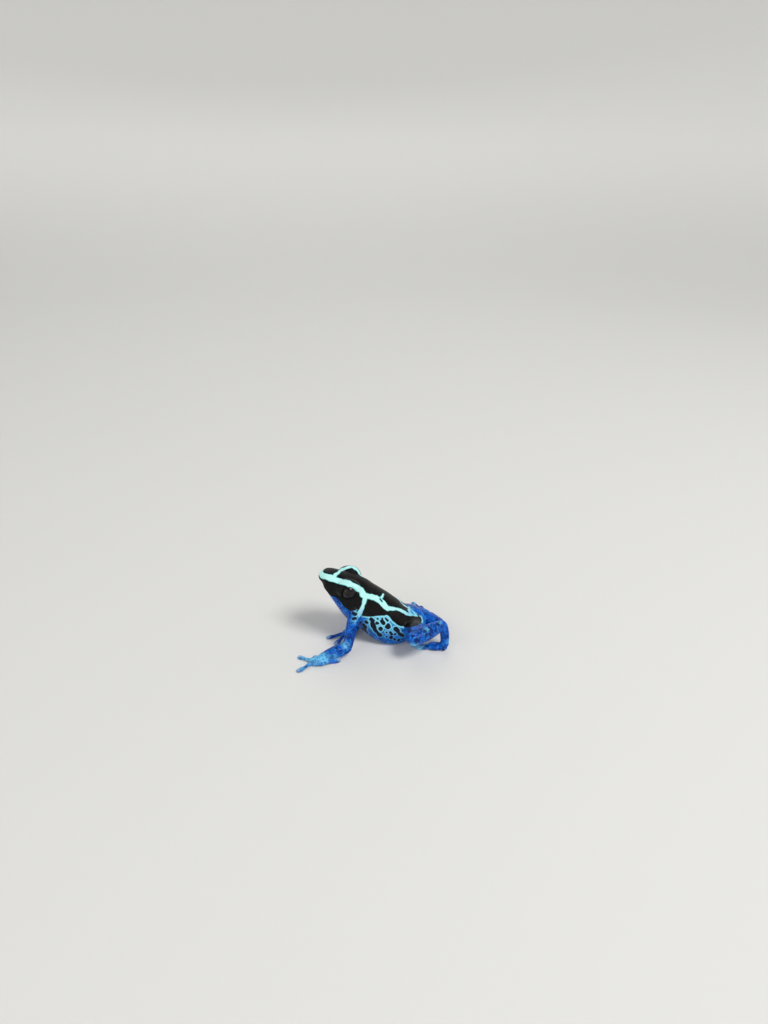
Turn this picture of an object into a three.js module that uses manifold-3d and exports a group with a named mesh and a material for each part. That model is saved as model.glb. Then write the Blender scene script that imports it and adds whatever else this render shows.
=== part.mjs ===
// Blue poison dart frog, sitting up on its arms, at life size.
// Millimetres, +Z up. +X runs from the snout to the rump and the frog's left side faces -Y.
// Each named mesh is one closed solid. Neighbours keep a thin gap and meet face to face.
import * as THREE from "three";
import { mergeVertices } from "three/addons/utils/BufferGeometryUtils.js";
import Module from "manifold-3d";

const wasm = await Module();
wasm.setup();

const SEAM = 0.3; // gap between neighbouring nodes
const LEFT = -1; // side of the body, as the sign of Y
const RIGHT = 1;

// Trunk and head in one run of oval sections. Each section reaches from a point of the back
// to a point of the belly, both [x, z], and is widest at its level, 0 at the back and 1 below.
const TRUNK = [
  { back: [0.5, 24.0], belly: [0.5, 21.4], wide: 2.0, level: 0.48 },
  { back: [2.2, 24.8], belly: [1.4, 18.8], wide: 3.6, level: 0.44 },
  { back: [4.8, 24.3], belly: [3.0, 16.0], wide: 4.7, level: 0.46 },
  { back: [7.6, 23.3], belly: [4.7, 13.2], wide: 5.5, level: 0.5 },
  { back: [10.9, 22.4], belly: [6.4, 10.3], wide: 6.2, level: 0.52 },
  { back: [14.4, 20.8], belly: [8.5, 7.3], wide: 6.4, level: 0.52 },
  { back: [17.6, 18.3], belly: [11.9, 4.4], wide: 6.6, level: 0.56 },
  { back: [21.0, 15.9], belly: [15.6, 1.2], wide: 7.0, level: 0.6 },
  { back: [24.6, 13.1], belly: [20.2, -1.2], wide: 7.5, level: 0.68 },
  { back: [28.0, 10.0], belly: [25.2, -1.3], wide: 7.1, level: 0.66 },
  { back: [31.0, 7.5], belly: [29.6, 0.2], wide: 5.3, level: 0.54 },
  { back: [33.3, 5.4], belly: [32.8, 1.0], wide: 3.5, level: 0.5 },
];
const TRUNK_SQUARE = 2.3;
const NECK = { back: [15.0, 20.4], belly: [9.2, 8.6] };

const EYE = { at: [9.3, 4.8, 20.0], radius: 2.5 };
const LIDS = { at: [9.0, 4.1, 20.4], radii: [4.15, 2.95, 3.2] };
const LID_OPENING = { at: [9.3, 6.95, 19.95], radii: [2.45, 3.2, 2.15] };
const NOSTRIL = { at: [1.2, 2.85, 23.1], radius: 0.38 };
const EARDRUM = { at: [11.7, 6.15, 15.8], radius: 1.1, dish: 3.0 };
const MOUTH = { front: [-0.8, 22.4], corner: [9.6, 13.0], height: 0.3, depth: 0.4 };
const LIP = { height: 0.6, proud: 0.14 };

const LEFT_ARM = {
  shoulder: [11.2, -5.4, 12.6],
  elbow: [8.9, -11.6, 3.0],
  wrist: [0.6, -15.2, 1.7],
};
const RIGHT_ARM = {
  shoulder: [12.0, 5.4, 12.4],
  elbow: [12.8, 8.8, 4.2],
  wrist: [10.3, -1.0, 1.6],
};
const LEFT_LEG = {
  hip: [30.8, -3.1, 5.0],
  knee: [29.4, -14.8, 8.3],
  heel: [39.4, -6.8, 8.4],
  ankle: [40.1, -8.7, 1.9],
};
const RIGHT_LEG = {
  hip: [31.2, 2.8, 4.8],
  knee: [27.5, 10.1, 3.1],
  heel: [40.0, 0.7, 2.9],
  ankle: [36.6, 7.6, 1.9],
};

// Half widths along each bone, from its near end to its far end.
const UPPER_ARM = [2.3, 2.2, 2.0, 1.8];
const FOREARM = [1.75, 2.2, 2.0, 1.4];
const THIGH = [2.9, 3.2, 2.8, 2.1];
const SHANK = [2.1, 2.65, 2.35, 1.6];
const TARSUS = [1.6, 1.6, 1.55, 1.6];

// Digits from the inner one to the outer one. turn is outward from the way the palm points,
// root is how far along the palm a digit starts, and out is how far beside its middle line.
const PALM = { length: 2.8, halves: [1.35, 1.8, 2.2, 1.7], thick: 0.55 };
const SOLE = { length: 4.6, halves: [1.6, 1.6, 1.75, 1.45], thick: 0.72 };
const LEFT_FINGERS = [
  { turn: -100, reach: 2.6, root: 0.5, out: -0.6 },
  { turn: -55, reach: 5.2, root: 1, out: -0.5 },
  { turn: 17, reach: 5.7, root: 1, out: 0.2 },
  { turn: 181, reach: 6.2, root: 0.3, out: 1.9 },
];
const RIGHT_FINGERS = [
  { turn: -85, reach: 2.6, root: 0.6, out: -0.6 },
  { turn: -46, reach: 5.0, root: 1, out: -0.5 },
  { turn: -5, reach: 5.7, root: 1, out: 0.2 },
  { turn: 104, reach: 4.8, root: 0.35, out: 0.9 },
];
const LEFT_TOES = [
  { turn: -14, reach: 1.9, root: 0.8, out: -0.7 },
  { turn: -9, reach: 3.1, root: 0.95, out: -0.6 },
  { turn: -5, reach: 4.6, root: 1, out: -0.2 },
  { turn: -1, reach: 5.7, root: 1, out: 0.2 },
  { turn: 5, reach: 4.0, root: 0.95, out: 0.7 },
];
const RIGHT_TOES = [
  { turn: -44, reach: 1.9, root: 0.8, out: -0.7 },
  { turn: -29, reach: 3.1, root: 0.95, out: -0.6 },
  { turn: -13, reach: 4.6, root: 1, out: -0.2 },
  { turn: 1, reach: 6.9, root: 1, out: 0.3 },
  { turn: 11, reach: 3.8, root: 0.95, out: 0.8 },
];
const FINGER = {
  wide: [0.85, 0.66, 0.58, 0.62, 0.98, 0.82],
  high: [0.7, 0.6, 0.52, 0.46, 0.44, 0.36],
};
const TOE = {
  wide: [0.8, 0.64, 0.56, 0.56, 0.8, 0.66],
  high: [0.7, 0.58, 0.5, 0.44, 0.42, 0.34],
};
const DIGIT_LIFT = [0.95, 0.85, 0.7, 0.5, 0.36, 0.3];
const AIM = { left_hand: 202, right_hand: 190, left_foot: 173, right_foot: 120 };

const BLUE = 0x1c5fd6;
const BLACK = 0x0a0c12;
const EYE_COLOUR = 0x120a06;

const vec = (a) => new THREE.Vector3(...a);
const radians = THREE.MathUtils.degToRad;
const heading = (degrees) =>
  new THREE.Vector3(Math.cos(radians(degrees)), Math.sin(radians(degrees)), 0);

// A tube of oval sections with a domed cap at each end. Each station has its centre p, the
// direction rise of its top, a half width, and the heights above and below the centre.
function loft(stations, { sides, rings, square = 2, caps = [0.9, 0.9], capRings = 3, grow = 0 }) {
  const line = new THREE.CatmullRomCurve3(stations.map((s) => s.p));
  const rises = new THREE.CatmullRomCurve3(stations.map((s) => s.rise));
  const halves = stations.map((s) => new THREE.Vector3(s.wide, s.above, s.below));
  const sizes = new THREE.CatmullRomCurve3(halves);
  const sectionAt = (u) => {
    const ahead = line.getTangent(u);
    const across = new THREE.Vector3().crossVectors(rises.getPoint(u), ahead).normalize();
    const rise = rises.getPoint(u).normalize();
    const [wide, above, below] = sizes.getPoint(u).toArray();
    const p = line.getPoint(u);
    return { p, ahead, across, rise, wide: wide + grow, above: above + grow, below: below + grow };
  };
  const cap = (u, way, reach) => {
    const base = sectionAt(u);
    const length = (reach * (base.above + base.below - 2 * grow)) / 2 + grow;
    const shrunk = Array.from({ length: capRings }, (_, i) => {
      const turn = ((i + 1) / (capRings + 0.4)) * (Math.PI / 2);
      return {
        ...base,
        p: base.p.clone().addScaledVector(base.ahead, way * length * Math.sin(turn)),
        wide: base.wide * Math.cos(turn),
        above: base.above * Math.cos(turn),
        below: base.below * Math.cos(turn),
      };
    });
    return { shrunk, pole: base.p.clone().addScaledVector(base.ahead, way * length) };
  };
  const first = cap(0, -1, caps[0]);
  const last = cap(1, 1, caps[1]);
  const middle = Array.from({ length: rings + 1 }, (_, i) => sectionAt(i / rings));
  const sections = [...first.shrunk.reverse(), ...middle, ...last.shrunk];

  const bent = (value) => Math.sign(value) * Math.abs(value) ** (2 / square);
  const points = [first.pole];
  for (const s of sections) {
    for (let k = 0; k < sides; k++) {
      const turn = (2 * Math.PI * (k + 0.5)) / sides;
      const lift = bent(Math.sin(turn));
      const p = s.p.clone().addScaledVector(s.across, s.wide * bent(Math.cos(turn)));
      points.push(p.addScaledVector(s.rise, lift * (lift > 0 ? s.above : s.below)));
    }
  }
  points.push(last.pole);

  const at = (ring, k) => 1 + ring * sides + (k % sides);
  const top = sections.length - 1;
  const index = [];
  for (let k = 0; k < sides; k++) {
    index.push(0, at(0, k + 1), at(0, k));
    for (let ring = 0; ring < top; ring++) {
      index.push(at(ring, k), at(ring, k + 1), at(ring + 1, k));
      index.push(at(ring, k + 1), at(ring + 1, k + 1), at(ring + 1, k));
    }
    index.push(points.length - 1, at(top, k), at(top, k + 1));
  }
  const geometry = new THREE.BufferGeometry().setFromPoints(points);
  geometry.setIndex(index);
  return geometry;
}

// A closed geometry as a solid that can be joined and cut.
function solid(geometry) {
  geometry.deleteAttribute("normal");
  geometry.deleteAttribute("uv");
  const merged = mergeVertices(geometry, 1e-4);
  return new wasm.Manifold(
    new wasm.Mesh({
      numProp: 3,
      vertProperties: merged.attributes.position.array,
      triVerts: new Uint32Array(merged.index.array),
    }),
  );
}

const joined = (...solids) => solids.reduce((a, b) => a.add(b));
const largest = (made) => made.decompose().reduce((a, b) => (b.volume() > a.volume() ? b : a));

function ball(centre, radii, detail = 16) {
  const geometry = new THREE.SphereGeometry(1, detail, Math.round(detail * 0.6));
  geometry.scale(...radii);
  geometry.translate(...centre);
  return solid(geometry);
}

// A point that the left and the right side share, on the side asked for.
const onSide = ([x, y, z], side) => [x, y * side, z];

function trunk(grow = 0) {
  const stations = TRUNK.map(({ back, belly, wide, level }) => {
    const top = vec([back[0], 0, back[1]]);
    const bottom = vec([belly[0], 0, belly[1]]);
    const p = top.clone().lerp(bottom, level);
    const rise = top.clone().sub(bottom).normalize();
    return { p, rise, wide, above: p.distanceTo(top), below: p.distanceTo(bottom) };
  });
  return solid(loft(stations, { sides: 28, rings: 32, square: TRUNK_SQUARE, caps: [0.75, 0.7], grow }));
}

// A bone from start to end, with its half widths spread along it.
function bone(start, end, halves, { rise = [0, 0, 1], flat = 1, bow = [0, 0, 0] } = {}) {
  return (grow = 0) => {
    const stations = halves.map((half, i) => {
      const u = i / (halves.length - 1);
      const p = vec(start).lerp(vec(end), u).addScaledVector(vec(bow), 4 * u * (1 - u));
      return { p, rise: vec(rise), wide: half, above: half * flat, below: half * flat };
    });
    return solid(loft(stations, { sides: 12, rings: 9, caps: [0.8, 0.8], grow }));
  };
}

// One finger or toe, from its root on the palm to its disc on the floor.
function digit(root, aim, reach, { wide, high }) {
  const stations = wide.map((half, i) => {
    const u = i / (wide.length - 1);
    const p = root.clone().addScaledVector(heading(aim), reach * u);
    p.z = DIGIT_LIFT[i];
    return { p, rise: new THREE.Vector3(0, 0, 1), wide: half, above: high[i], below: high[i] };
  });
  return solid(loft(stations, { sides: 8, rings: 8, caps: [0.8, 1.5], capRings: 2 }));
}

// A hand or a foot: the palm from the wrist, and its digits.
function paw(wrist, aim, side, palm, digits, shape) {
  const start = vec(wrist);
  start.z = 1.1;
  const end = start.clone().addScaledVector(heading(aim), palm.length);
  end.z = 0.9;
  const flat = bone(start.toArray(), end.toArray(), palm.halves, { flat: palm.thick })();
  const made = digits.map(({ turn, reach, root, out }) => {
    const from = start.clone().lerp(end, root).addScaledVector(heading(aim - side * 90), out);
    return digit(from, aim - side * turn, reach, shape);
  });
  return joined(flat, ...made);
}

const eyelids = (side) => ball(onSide(LIDS.at, side), LIDS.radii, 18);

function socket(side) {
  const hollow = ball(onSide(EYE.at, side), Array(3).fill(EYE.radius + SEAM));
  return joined(hollow, ball(onSide(LID_OPENING.at, side), LID_OPENING.radii, 18));
}

// A flat band across the head along the line of the mouth, from lower to upper beside that line.
function mouthBand(lower, upper) {
  const front = vec([MOUTH.front[0], 0, MOUTH.front[1]]);
  const corner = vec([MOUTH.corner[0], 0, MOUTH.corner[1]]);
  const length = front.distanceTo(corner);
  const geometry = new THREE.BoxGeometry(length, 20, upper - lower);
  geometry.translate(length / 2, 0, (upper + lower) / 2);
  geometry.rotateY(Math.atan2(front.z - corner.z, corner.x - front.x));
  geometry.translate(front.x, 0, front.z);
  return solid(geometry);
}

function neckPlane() {
  const back = vec([NECK.back[0], 0, NECK.back[1]]);
  const belly = vec([NECK.belly[0], 0, NECK.belly[1]]);
  const across = new THREE.Vector3(0, 1, 0);
  const normal = across.cross(back.clone().sub(belly)).normalize();
  return { normal, offset: normal.dot(back) };
}

function makeHead() {
  const { normal, offset } = neckPlane();
  const away = normal.clone().negate().toArray();
  const lips = trunk(LIP.proud).intersect(mouthBand(-LIP.height, LIP.height));
  const groove = mouthBand(-MOUTH.height / 2, MOUTH.height / 2).subtract(trunk(-MOUTH.depth));
  let head = joined(trunk(), lips).trimByPlane(away, -offset);
  for (const side of [LEFT, RIGHT]) {
    const ear = onSide(EARDRUM.at, side);
    const dish = EARDRUM.dish;
    const out = Math.sqrt(dish * dish - EARDRUM.radius * EARDRUM.radius);
    head = head.add(eyelids(side)).subtract(socket(side));
    head = head.subtract(ball(onSide(NOSTRIL.at, side), Array(3).fill(NOSTRIL.radius), 8));
    head = head.subtract(ball([ear[0], ear[1] + side * out, ear[2]], Array(3).fill(dish), 24));
  }
  return head.subtract(groove);
}

// The flesh of the trunk round each shoulder and each hip.
const shoulders = (grow = 0) =>
  [LEFT_ARM.shoulder, RIGHT_ARM.shoulder].map(([x, y, z]) =>
    ball([x + 0.9, y * 0.86, z], [2.9 + grow, 2.0 + grow, 3.2 + grow]),
  );

const hips = (grow = 0) =>
  [LEFT_LEG.hip, RIGHT_LEG.hip].map(([x, y, z]) =>
    ball([x - 0.6, y * 1.1, z - 0.6], [3.7 + grow, 3.1 + grow, 3.2 + grow]),
  );

function makeTorso() {
  const { normal, offset } = neckPlane();
  return joined(trunk(), ...shoulders(), ...hips()).trimByPlane(normal.toArray(), offset + SEAM);
}

const wholeTrunk = (grow) => joined(trunk(grow), ...shoulders(grow), ...hips(grow));

const nodes = {};
const place = (name, made, colour, cutters = []) => {
  const clear = cutters.reduce((a, b) => a.subtract(b), made);
  nodes[name] = { made: largest(clear.trimByPlane([0, 0, 1], 0)), colour };
};

const body = wholeTrunk(SEAM);
place("head", makeHead(), BLACK);
place("torso", makeTorso(), BLUE);
for (const [name, side, arm, fingers] of [
  ["left", LEFT, LEFT_ARM, LEFT_FINGERS],
  ["right", RIGHT, RIGHT_ARM, RIGHT_FINGERS],
]) {
  const upper = bone(arm.shoulder, arm.elbow, UPPER_ARM, { rise: [1, 0, 0.3] });
  const fore = bone(arm.elbow, arm.wrist, FOREARM);
  const hand = paw(arm.wrist, AIM[name + "_hand"], side, PALM, fingers, FINGER);
  place(name + "_eye", ball(onSide(EYE.at, side), Array(3).fill(EYE.radius), 18), EYE_COLOUR);
  place(name + "_upper_arm", upper(), BLUE, [body]);
  place(name + "_forearm", fore(), BLUE, [body, upper(SEAM)]);
  place(name + "_hand", hand, BLUE, [fore(SEAM), body]);
}
for (const [name, side, leg, toes] of [
  ["left", LEFT, LEFT_LEG, LEFT_TOES],
  ["right", RIGHT, RIGHT_LEG, RIGHT_TOES],
]) {
  const thigh = bone(leg.hip, leg.knee, THIGH);
  const shank = bone(leg.knee, leg.heel, SHANK);
  const tarsus = bone(leg.heel, leg.ankle, TARSUS, { rise: [1, 0, 0.2], bow: [0.4, 0, 0] });
  const foot = paw(leg.ankle, AIM[name + "_foot"], side, SOLE, toes, TOE);
  place(name + "_thigh", thigh(), BLUE, [body]);
  place(name + "_shank", shank(), BLUE, [body, thigh(SEAM)]);
  place(name + "_tarsus", tarsus(), BLUE, [shank(SEAM), body]);
  place(name + "_foot", foot, BLUE, [tarsus(SEAM), shank(SEAM), body]);
}

// The frog stands on z = 0 with the middle of its bounding box over the origin.
const bounds = new THREE.Box3();
for (const { made } of Object.values(nodes)) {
  const box = made.boundingBox();
  bounds.expandByPoint(vec(box.min)).expandByPoint(vec(box.max));
}
const middle = bounds.getCenter(new THREE.Vector3());

const frog = new THREE.Group();
for (const [name, { made, colour }] of Object.entries(nodes)) {
  const mesh = made.translate([-middle.x, -middle.y, 0]).getMesh();
  const geometry = new THREE.BufferGeometry();
  geometry.setAttribute("position", new THREE.BufferAttribute(mesh.vertProperties, 3));
  geometry.setIndex(new THREE.BufferAttribute(mesh.triVerts, 1));
  geometry.computeVertexNormals();
  const material = new THREE.MeshStandardMaterial({ color: colour, roughness: 0.32, metalness: 0 });
  const shown = new THREE.Mesh(geometry, material);
  shown.name = name;
  frog.add(shown);
}
export default frog;
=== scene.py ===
"""A life-size still model of a blue poison dart frog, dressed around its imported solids.

The frog's own measuring frame is used for every mark and fold: millimetres, with x from the tip
of the snout towards the rump, z up from the floor, and y negative on the frog's left side.
"""

import logging
import math
from dataclasses import dataclass
from enum import Enum
from functools import reduce

import bpy
import numpy as np
from mathutils import Matrix, Vector, noise
from mathutils.bvhtree import BVHTree
from mathutils.kdtree import KDTree


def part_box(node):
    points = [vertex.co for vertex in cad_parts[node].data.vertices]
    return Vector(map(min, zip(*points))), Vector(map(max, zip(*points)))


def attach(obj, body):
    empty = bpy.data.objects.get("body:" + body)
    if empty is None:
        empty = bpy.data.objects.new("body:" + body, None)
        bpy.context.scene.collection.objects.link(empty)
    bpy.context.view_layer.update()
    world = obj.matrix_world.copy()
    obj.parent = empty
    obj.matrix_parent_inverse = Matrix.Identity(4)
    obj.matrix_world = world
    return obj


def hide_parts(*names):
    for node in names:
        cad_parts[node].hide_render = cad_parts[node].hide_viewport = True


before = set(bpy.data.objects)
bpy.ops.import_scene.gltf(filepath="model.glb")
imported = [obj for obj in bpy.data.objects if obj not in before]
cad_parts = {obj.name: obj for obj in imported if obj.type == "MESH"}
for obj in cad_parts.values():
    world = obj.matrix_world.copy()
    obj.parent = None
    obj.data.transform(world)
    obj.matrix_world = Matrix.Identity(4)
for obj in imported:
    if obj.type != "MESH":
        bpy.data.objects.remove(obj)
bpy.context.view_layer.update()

LOG = logging.getLogger("dart_frog")
MM = 0.001
BODY = "root"
EYE_NODES = ("left_eye", "right_eye")
TRUNK_NODES = ("head", "torso")
LEFT_EYE_CENTRE = (9.3, -4.8, 20.0)
EYEBALL_RADIUS = 2.43
IMAGE_WIDTH = 768
IMAGE_HEIGHT = 1024
# Further than anything on the frog lies from anything else, in mm.
FAR = 1e3
# How far off its face a ray starts, in metres.
NUDGE = 1e-6
# The cosine and sine of the 35 degrees at which the photograph looks down on the flank.
GIRTH_UP = 0.819
GIRTH_ASIDE = 0.574

Line = tuple[tuple[float, float, float, float], ...]
Outline = tuple[tuple[float, float], ...]
Span = tuple[float, float]


class Side(Enum):
    """A side of the body, as the sign of y."""

    LEFT = -1.0
    RIGHT = 1.0


class Mark(Enum):
    """What the skin stores at each vertex, under the name that its material reads."""

    PALE = "pale"
    # The mint's bluer tone, partly painted shade at the rump.
    COOL = "cool"
    BLACK = "black"
    # A painted sheen on the black.
    PAINTED_SHEEN = "painted_sheen"
    SPOT = "spot"
    BLOTCH = "blotch"
    LIMB = "limb"
    NET = "net"
    TIP = "tip"
    # A painted highlight on the blue skin.
    PAINTED_HIGHLIGHT = "painted_highlight"


def linear(hex_colour: str) -> tuple[float, float, float, float]:
    """Turns an sRGB hex colour into the linear RGBA that the shaders take.

    Args:
        hex_colour: The colour as "#RRGGBB".

    Returns:
        Red, green, blue and a full alpha, each from 0 to 1.
    """
    channels = [int(hex_colour[i:i + 2], 16) / 255 for i in (1, 3, 5)]
    low, toe, gamma = 0.04045, 12.92, 2.4
    shades = [c / toe if c <= low else ((c + 0.055) / 1.055) ** gamma for c in channels]
    return (shades[0], shades[1], shades[2], 1.0)


def deselect() -> None:
    """Leaves nothing selected, so that the next operator acts only on what is picked."""
    if bpy.context.object and bpy.context.object.mode != "OBJECT":
        bpy.ops.object.mode_set(mode="OBJECT")
    bpy.ops.object.select_all(action="DESELECT")


def pick(piece: bpy.types.Object) -> None:
    """Selects one object alone and makes it active.

    Args:
        piece: The object to select.
    """
    deselect()
    piece.select_set(True)
    bpy.context.view_layer.objects.active = piece


def apply_modifier(piece: bpy.types.Object, kind: str, **settings: object) -> None:
    """Adds a modifier to an object with its settings and applies it at once.

    Args:
        piece: The object to change.
        kind: Blender's name of the modifier type.
        **settings: The modifier's properties and their values.
    """
    pick(piece)
    modifier = piece.modifiers.new(kind.lower(), kind)
    for name, value in settings.items():
        setattr(modifier, name, value)
    bpy.ops.object.modifier_apply(modifier=modifier.name)


def smooth_step(values: np.ndarray, low: float, high: float) -> np.ndarray:
    """Rises smoothly from 0 at low to 1 at high, and runs the other way where low is above high."""
    t = np.clip((values - low) / (high - low), 0.0, 1.0)
    return t * t * (3.0 - 2.0 * t)


def positions(piece: bpy.types.Object) -> np.ndarray:
    """Reads the places of a mesh's vertices.

    Args:
        piece: The object with the mesh.

    Returns:
        Rows of x, y and z in metres.
    """
    flat = np.empty(len(piece.data.vertices) * 3)
    piece.data.vertices.foreach_get("co", flat)
    return flat.reshape(-1, 3)


def normals(piece: bpy.types.Object) -> np.ndarray:
    """Reads the normals at a mesh's vertices.

    Args:
        piece: The object with the mesh.

    Returns:
        Rows of x, y and z, each of length 1.
    """
    flat = np.empty(len(piece.data.vertices) * 3, dtype=np.float32)
    piece.data.vertex_normals.foreach_get("vector", flat)
    return flat.reshape(-1, 3).astype(float)


def move_to(piece: bpy.types.Object, places: np.ndarray) -> None:
    """Moves every vertex of the mesh to the given places in metres."""
    piece.data.vertices.foreach_set("co", places.astype(np.float32).ravel())
    piece.data.update()


def write_attribute(piece: bpy.types.Object, name: str, values: np.ndarray) -> None:
    """Stores one number per vertex under a name that the materials can read."""
    attribute = piece.data.attributes.new(name, "FLOAT", "POINT")
    attribute.data.foreach_set("value", values.astype(np.float32))


def surface(piece: bpy.types.Object) -> BVHTree:
    """The mesh's surface, for rays and nearest points."""
    corners = [v.co.copy() for v in piece.data.vertices]
    return BVHTree.FromPolygons(corners, [tuple(p.vertices) for p in piece.data.polygons])


@dataclass(frozen=True)
class FrogFrame:
    """Where the frog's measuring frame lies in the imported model."""

    shift: Vector

    @classmethod
    def from_eye(cls) -> "FrogFrame":
        """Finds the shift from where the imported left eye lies."""
        low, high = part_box("left_eye")
        return cls((low + high) / 2 - Vector(LEFT_EYE_CENTRE) * MM)

    def place(self, point: tuple[float, float, float]) -> Vector:
        """Turns a point of the frog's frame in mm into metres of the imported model."""
        return Vector(point) * MM + self.shift

    def measure(self, places: np.ndarray) -> np.ndarray:
        """Turns rows of packed metres into rows of the frog's frame in mm."""
        return (places - np.array(self.shift)) / MM


def band_depth(points: np.ndarray, line: Line) -> np.ndarray:
    """How deep each point lies inside a round band along a line.

    Args:
        points: Rows of x, y and z in mm.
        line: The band's middle line as (x, y, z, half width) in mm.

    Returns:
        Millimetres inside the band's edge, negative outside it.
    """
    best = np.full(len(points), -FAR)
    stations = np.array(line, float)
    if len(stations) == 1:
        return stations[0, 3] - np.linalg.norm(points - stations[0, :3], axis=1)
    for start, end in zip(stations[:-1], stations[1:]):
        along = end[:3] - start[:3]
        share = np.clip((points - start[:3]) @ along / (along @ along), 0.0, 1.0)
        gap = points - (start[:3] + share[:, None] * along)
        half = start[3] + share * (end[3] - start[3])
        best = np.maximum(best, half - np.linalg.norm(gap, axis=1))
    return best


def outline_depth(flat: np.ndarray, outline: Outline) -> np.ndarray:
    """How deep each point of a plane lies inside a closed outline.

    Args:
        flat: Rows of two coordinates in mm.
        outline: The outline's corners in order.

    Returns:
        Millimetres inside the outline, negative outside it.
    """
    corners = np.array(outline, float)
    nearest = np.full(len(flat), FAR)
    inside = np.zeros(len(flat), dtype=bool)
    for start, end in zip(corners, np.roll(corners, -1, axis=0)):
        along = end - start
        share = np.clip((flat - start) @ along / (along @ along), 0.0, 1.0)
        nearest = np.minimum(nearest, np.linalg.norm(flat - start - share[:, None] * along, axis=1))
        spans = (start[1] > flat[:, 1]) != (end[1] > flat[:, 1])
        rise = along[1] if along[1] else 1e-9
        crossing = start[0] + (flat[:, 1] - start[1]) * along[0] / rise
        inside ^= spans & (flat[:, 0] < crossing)
    return np.where(inside, nearest, -nearest)


def girth(points: np.ndarray) -> np.ndarray:
    """How far up round the body each point is: low at the flank's foot and high at the backbone."""
    return GIRTH_UP * points[:, 2] - GIRTH_ASIDE * np.abs(points[:, 1])


def mirrored(line: Line, shift: float = 0.0, size: float = 1.0) -> Line:
    """The same line on the frog's other side, moved along the body by shift mm and resized."""
    return tuple((x + shift, -y, z, half * size) for x, y, z, half in line)


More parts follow.
